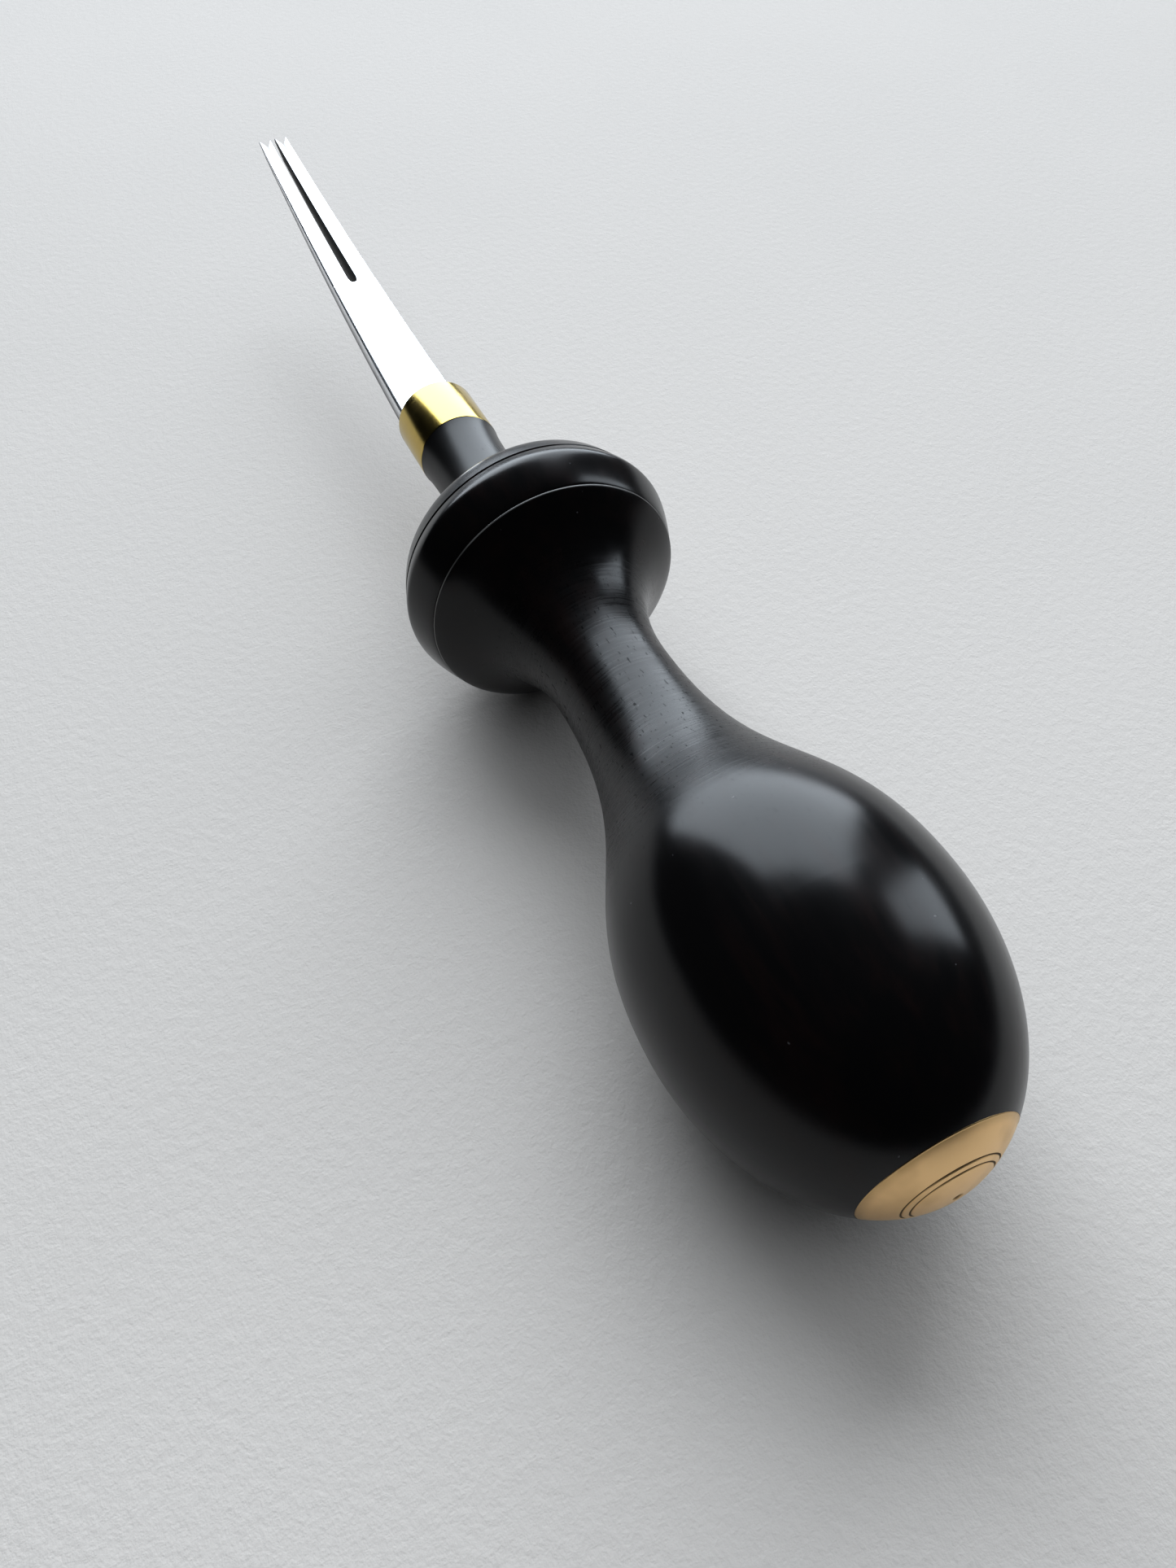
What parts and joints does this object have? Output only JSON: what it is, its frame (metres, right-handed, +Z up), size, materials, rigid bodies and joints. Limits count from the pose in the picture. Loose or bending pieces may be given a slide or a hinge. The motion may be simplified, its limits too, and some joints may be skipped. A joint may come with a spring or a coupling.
{
  "type": "two-pronged hand cutter",
  "caption": "Hand cutter with a turned bulb handle, finger flange, brass ferrule and cap, and a slim forked steel blade with V-grooved prongs.",
  "frame": {"origin": "on the surface the tool lies on, below the middle of its length", "axes": "+X from the end cap to the points of the blade, +Z up, with the flat of the blade facing up"},
  "size_m": [0.1634, 0.0284, 0.0285],
  "materials": {
    "ebony": "satin, fine-sanded and waxed black ebony",
    "brass": "polished ferrule, satin end cap",
    "steel": "polished tool steel",
    "resin": "cast resin, out of sight"
  },
  "bodies": {
    "root": {"handle": "ebony", "end_cap": "brass", "ferrule": "brass", "blade": "steel", "tang_bedding": "resin"}
  },
  "joints": []
}
